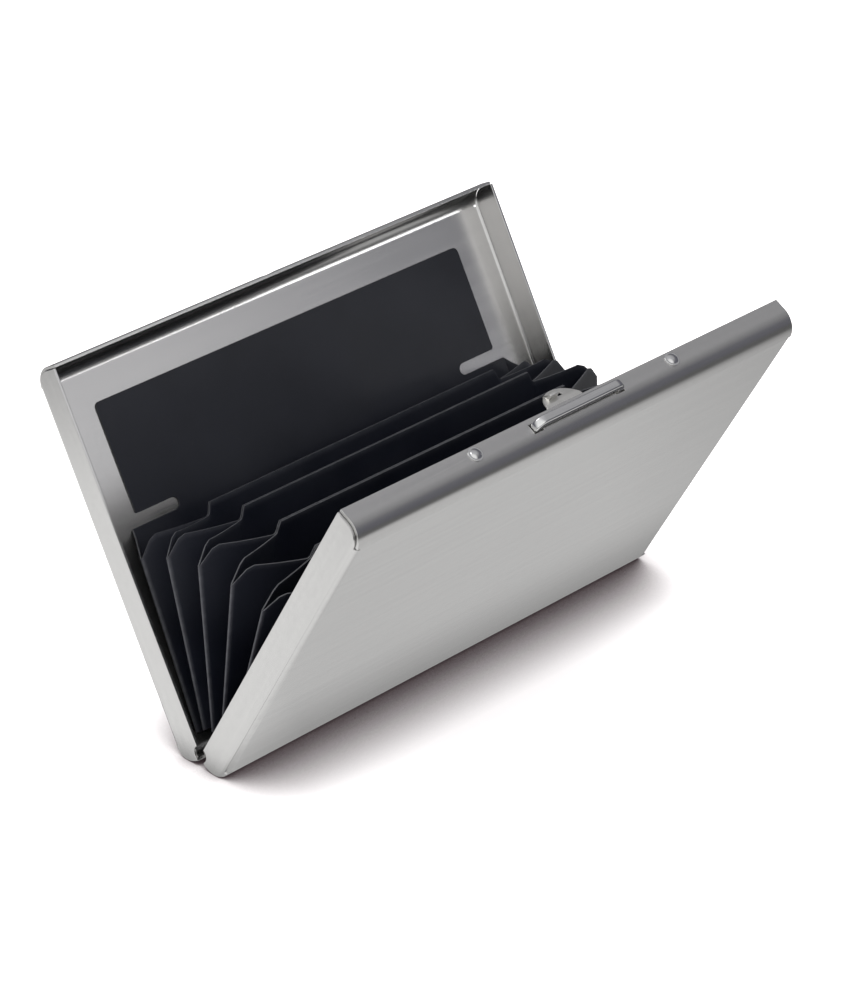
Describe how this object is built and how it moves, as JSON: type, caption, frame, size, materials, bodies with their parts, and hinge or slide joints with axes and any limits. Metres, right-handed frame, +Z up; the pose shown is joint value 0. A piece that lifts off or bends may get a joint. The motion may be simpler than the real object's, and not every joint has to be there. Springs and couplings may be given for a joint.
{
  "type": "card case",
  "caption": "Slim hinged steel card case standing open, with a fan of folded card pockets inside and a sprung thumb-bar latch on its top flange.",
  "frame": {"origin": "on the table, midway between the two bottom bends that the open case stands on, and midway along the hinge", "axes": "+X along the hinge, +Z up, the front shell with the latch leans to -Y and the rear shell to +Y"},
  "size_m": [0.095, 0.0692, 0.0587],
  "materials": {
    "brushed_shell": "brushed",
    "wire": "drawn",
    "bright_parts": "polished",
    "spring_steel": "satin",
    "black_sheet": "smooth black PVC sheet"
  },
  "bodies": {
    "rear_shell": {"rear_shell": "brushed_shell", "hinge_pin": "wire", "pocket_1_rear": "black_sheet"},
    "front_shell": {"front_shell": "brushed_shell", "rivets": "bright_parts", "spring_arms": "spring_steel"},
    "latch": {"latch_tab": "spring_steel", "thumb_bar": "bright_parts"},
    "divider_1": {"pocket_1_front": "black_sheet", "pocket_2_rear": "black_sheet", "pocket_1_bellows": "black_sheet"},
    "divider_2": {"pocket_2_front": "black_sheet", "pocket_3_rear": "black_sheet", "pocket_2_bellows": "black_sheet"},
    "divider_3": {"pocket_3_front": "black_sheet", "pocket_4_rear": "black_sheet", "pocket_3_bellows": "black_sheet"},
    "divider_4": {"pocket_4_front": "black_sheet", "pocket_5_rear": "black_sheet", "pocket_4_bellows": "black_sheet"},
    "divider_5": {"pocket_5_front": "black_sheet", "pocket_6_rear": "black_sheet", "pocket_5_bellows": "black_sheet"},
    "front_panel": {"pocket_6_front": "black_sheet", "pocket_6_bellows": "black_sheet"}
  },
  "joints": [
    {"name": "case_hinge", "type": "hinge", "parent": "rear_shell", "child": "front_shell", "pos_m": [0, 0, 0.00238], "axis": [1, 0, 0], "range_deg": [-58.4, 3]},
    {"name": "latch_slide", "type": "slide", "parent": "front_shell", "child": "latch", "axis": [0, 0.4879, -0.8729], "range_m": [0, 0.0006], "stiffness_N_per_m": 4000, "deforming": ["spring_arms"]},
    {"name": "fold_1", "type": "hinge", "parent": "rear_shell", "child": "divider_1", "pos_m": [0, 0, 0.00238], "axis": [1, 0, 0], "range_deg": [-10.12, 0.54], "deforming": ["pocket_1_bellows"]},
    {"name": "fold_2", "type": "hinge", "parent": "divider_1", "child": "divider_2", "pos_m": [0, 0, 0.00238], "axis": [1, 0, 0], "range_deg": [-10.53, 0.56], "deforming": ["pocket_2_bellows"]},
    {"name": "fold_3", "type": "hinge", "parent": "divider_2", "child": "divider_3", "pos_m": [0, 0, 0.00238], "axis": [1, 0, 0], "range_deg": [-10.62, 0.56], "deforming": ["pocket_3_bellows"]},
    {"name": "fold_4", "type": "hinge", "parent": "divider_3", "child": "divider_4", "pos_m": [0, 0, 0.00238], "axis": [1, 0, 0], "range_deg": [-10.18, 0.54], "deforming": ["pocket_4_bellows"]},
    {"name": "fold_5", "type": "hinge", "parent": "divider_4", "child": "divider_5", "pos_m": [0, 0, 0.00238], "axis": [1, 0, 0], "range_deg": [-9.13, 0.49], "deforming": ["pocket_5_bellows"]},
    {"name": "fold_6", "type": "hinge", "parent": "divider_5", "child": "front_panel", "pos_m": [0, 0, 0.00238], "axis": [1, 0, 0], "range_deg": [-7.95, 0.43], "deforming": ["pocket_6_bellows"]}
  ],
  "couplings": [
    {"joint": "fold_1", "follows": "case_hinge", "ratio": 0.17287},
    {"joint": "fold_2", "follows": "case_hinge", "ratio": 0.1799},
    {"joint": "fold_3", "follows": "case_hinge", "ratio": 0.18153},
    {"joint": "fold_4", "follows": "case_hinge", "ratio": 0.17403},
    {"joint": "fold_5", "follows": "case_hinge", "ratio": 0.15595},
    {"joint": "fold_6", "follows": "case_hinge", "ratio": 0.13572}
  ]
}
